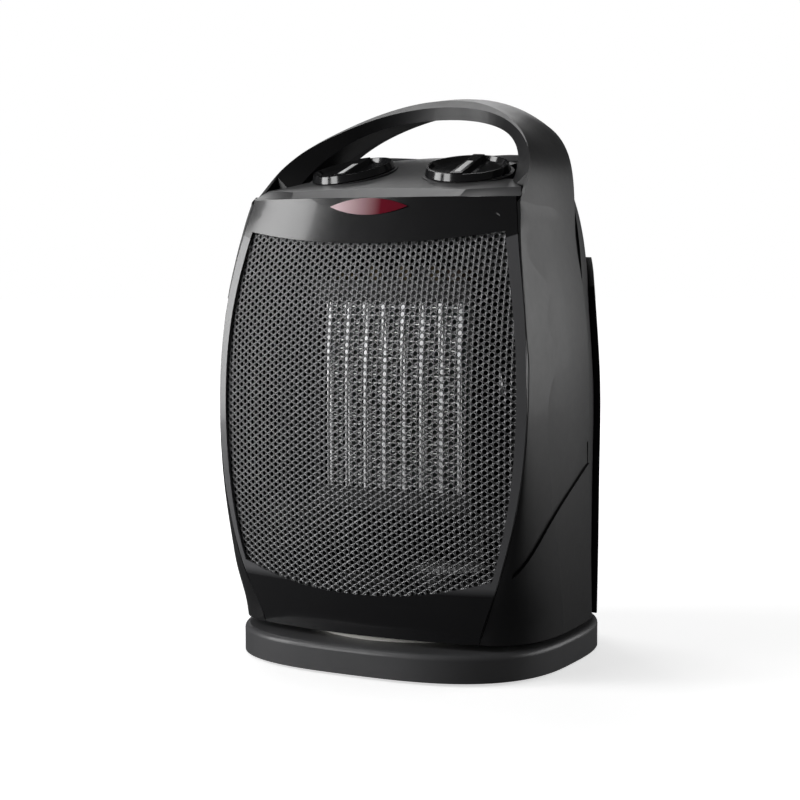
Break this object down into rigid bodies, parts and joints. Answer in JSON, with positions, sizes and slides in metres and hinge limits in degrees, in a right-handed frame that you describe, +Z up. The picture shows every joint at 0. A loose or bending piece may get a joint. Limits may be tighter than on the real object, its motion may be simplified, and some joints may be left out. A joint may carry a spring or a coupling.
{
  "type": "ceramic space heater",
  "caption": "Upright portable ceramic fan heater with an arched carry handle, domed perforated grille and two deck knobs, swinging on a low oval plinth.",
  "frame": {"origin": "on the ground under the swing axis, at the middle of the plinth", "axes": "+Z up, -Y the way the front grille faces, +X to the right as seen from the front"},
  "size_m": [0.163, 0.1445, 0.2685],
  "materials": {
    "black_gloss": "satin gloss moulded ABS, black",
    "black_matte": "fine-textured black polypropylene",
    "deck_satin": "satin dark grey-black moulding",
    "trim_gloss": "gloss black bezel",
    "grille_metal": "black powder coat on perforated sheet steel",
    "red_lens": "translucent red polycarbonate",
    "lamp_glass": "clear neon lamp glass",
    "knob_black": "gloss black",
    "pointer_white": "white inlay",
    "switch_black": "black switch plastic",
    "white_nylon": "natural nylon",
    "foot_rubber": "soft black rubber",
    "gland_rubber": "black PVC",
    "steel": "zinc plated",
    "motor_zinc": "zinc plated can",
    "aluminium": "bare rolled aluminium",
    "ceramic_white": "white heat-proof moulding",
    "brass": "bare brass",
    "heat_plastic": "glass-filled heat-proof black",
    "impeller_grey": "dark grey moulding"
  },
  "bodies": {
    "base": {"base_shell": "black_gloss", "base_plate": "black_matte", "rubber_feet": "foot_rubber", "base_screws": "steel", "cord_gland": "gland_rubber", "glide_ring": "white_nylon", "ring_gear": "white_nylon", "ring_gear_screws": "steel", "tip_spring": "steel", "tip_microswitch": "switch_black"},
    "plunger": {"tip_plunger": "white_nylon"},
    "pinion": {"swing_pinion": "white_nylon"},
    "fan": {"motor_shaft": "steel", "impeller": "impeller_grey", "impeller_nut": "brass"},
    "thermostat_dial": {"thermostat_shaft": "steel", "thermostat_knob": "knob_black", "thermostat_pointer": "pointer_white"},
    "selector_dial": {"selector_shaft": "steel", "selector_knob": "knob_black", "selector_pointer": "pointer_white"},
    "rocker": {"swing_rocker": "switch_black"},
    "heater": {"floor_plate": "black_matte", "pivot_retainer": "steel", "retainer_screws": "steel", "swing_motor": "motor_zinc", "swing_motor_screws": "steel", "terminal_block": "white_nylon", "main_housing": "black_gloss", "rear_housing": "black_matte", "rear_grille": "black_matte", "front_frame": "trim_gloss", "front_grille": "grille_metal", "grille_retainer": "black_matte", "control_panel": "deck_satin", "indicator_lens": "red_lens", "pilot_lamp": "lamp_glass", "lamp_holder": "black_matte", "housing_screws": "steel", "cover_screws": "steel", "ptc_bars": "aluminium", "ptc_fins": "aluminium", "ptc_holders": "ceramic_white", "ptc_terminals": "brass", "duct_plate": "heat_plastic", "fan_shroud": "heat_plastic", "fan_motor": "motor_zinc", "thermal_cutout": "ceramic_white", "thermal_fuse": "brass", "swing_switch_body": "switch_black", "thermostat_body": "ceramic_white", "thermostat_nut": "steel", "selector_body": "switch_black", "selector_nut": "steel"}
  },
  "joints": [
    {"name": "swing", "type": "hinge", "parent": "base", "child": "heater", "pos_m": [0, 0, 0.012], "axis": [0, 0, 1], "range_deg": [-35, 35]},
    {"name": "pinion_spin", "type": "hinge", "parent": "heater", "child": "pinion", "pos_m": [0, 0.03, 0.014], "axis": [0, 0, 1], "range_deg": [-120, 120]},
    {"name": "thermostat_turn", "type": "hinge", "parent": "heater", "child": "thermostat_dial", "pos_m": [0.0304, -0.0128, 0.22924], "axis": [0.0708, -0.2702, 0.9602], "range_deg": [-150, 120]},
    {"name": "selector_turn", "type": "hinge", "parent": "heater", "child": "selector_dial", "pos_m": [-0.0304, -0.0128, 0.22924], "axis": [-0.0708, -0.2702, 0.9602], "range_deg": [-135, 135]},
    {"name": "fan_spin", "type": "hinge", "parent": "heater", "child": "fan", "pos_m": [0, 0.008, 0.125], "axis": [0, 1, 0], "continuous": true},
    {"name": "plunger_travel", "type": "slide", "parent": "base", "child": "plunger", "axis": [0, 0, -1], "range_m": [0, 0.0034], "stiffness_N_per_m": 40, "springref_m": 0.012, "deforming": ["tip_spring"]},
    {"name": "rocker_tilt", "type": "hinge", "parent": "heater", "child": "rocker", "pos_m": [0, 0.0689, 0.036], "axis": [1, 0, 0], "range_deg": [0, 16]}
  ],
  "couplings": [
    {"joint": "pinion_spin", "follows": "swing", "ratio": 3.2857}
  ]
}
